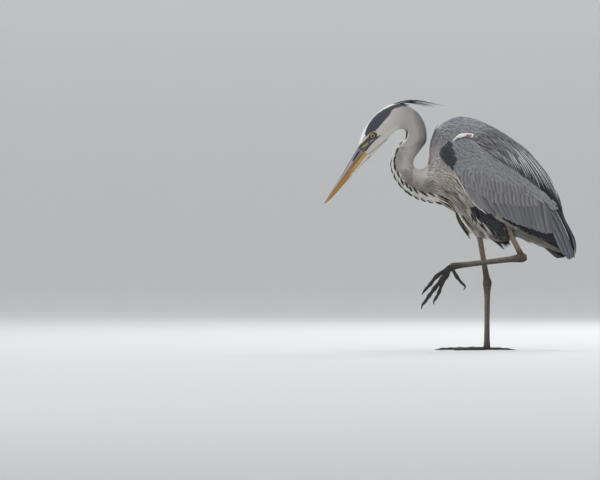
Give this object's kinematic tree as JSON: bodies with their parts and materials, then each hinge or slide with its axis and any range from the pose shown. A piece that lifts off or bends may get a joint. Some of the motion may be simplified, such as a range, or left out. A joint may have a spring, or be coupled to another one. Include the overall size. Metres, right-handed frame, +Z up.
{
  "type": "grey heron",
  "caption": "Adult grey heron wading on one leg, the other leg lifted and folded, neck drawn into an S and the bill pointing down.",
  "frame": {"origin": "middle of the pad under the standing (right) foot, at floor level", "axes": "+Z up, the heron faces -X, and its left side is -Y"},
  "size_m": [0.55, 0.145, 0.552],
  "materials": {
    "grey_feathers": "soft matt vanes",
    "pale_feathers": "soft matt vanes",
    "cream_feathers": "soft matt vanes",
    "black_feathers": "soft matt vanes with a faint sheen",
    "flight_feathers": "smooth matt vanes",
    "bill_horn": "smooth horn, satin",
    "bill_yellow": "smooth horn, satin",
    "iris": "wet and clear over a yellow iris",
    "leg_skin": "scaled skin, dull",
    "claw_horn": "smooth dark horn"
  },
  "bodies": {
    "root": {"head": "pale_feathers", "bill_upper": "bill_horn", "bill_lower": "bill_yellow", "eye_left": "iris", "eye_right": "iris", "crest_left": "black_feathers", "crest_right": "black_feathers", "neck_upper": "pale_feathers", "neck_middle": "pale_feathers", "neck_lower": "pale_feathers", "neck_fold": "pale_feathers", "trunk": "cream_feathers", "breast_plumes": "cream_feathers", "mantle": "grey_feathers", "tail": "grey_feathers", "wing_left": "grey_feathers", "primaries_left": "flight_feathers", "thigh_left": "black_feathers", "shin_left": "leg_skin", "tarsus_left": "leg_skin", "toe_left_middle": "leg_skin", "claw_left_middle": "claw_horn", "toe_left_inner": "leg_skin", "claw_left_inner": "claw_horn", "toe_left_outer": "leg_skin", "claw_left_outer": "claw_horn", "toe_left_hind": "leg_skin", "claw_left_hind": "claw_horn", "wing_right": "grey_feathers", "primaries_right": "flight_feathers", "thigh_right": "cream_feathers", "shin_right": "leg_skin", "tarsus_right": "leg_skin", "toe_right_middle": "leg_skin", "claw_right_middle": "claw_horn", "toe_right_inner": "leg_skin", "claw_right_inner": "claw_horn", "toe_right_outer": "leg_skin", "claw_right_outer": "claw_horn", "toe_right_hind": "leg_skin", "claw_right_hind": "claw_horn"}
  },
  "joints": []
}
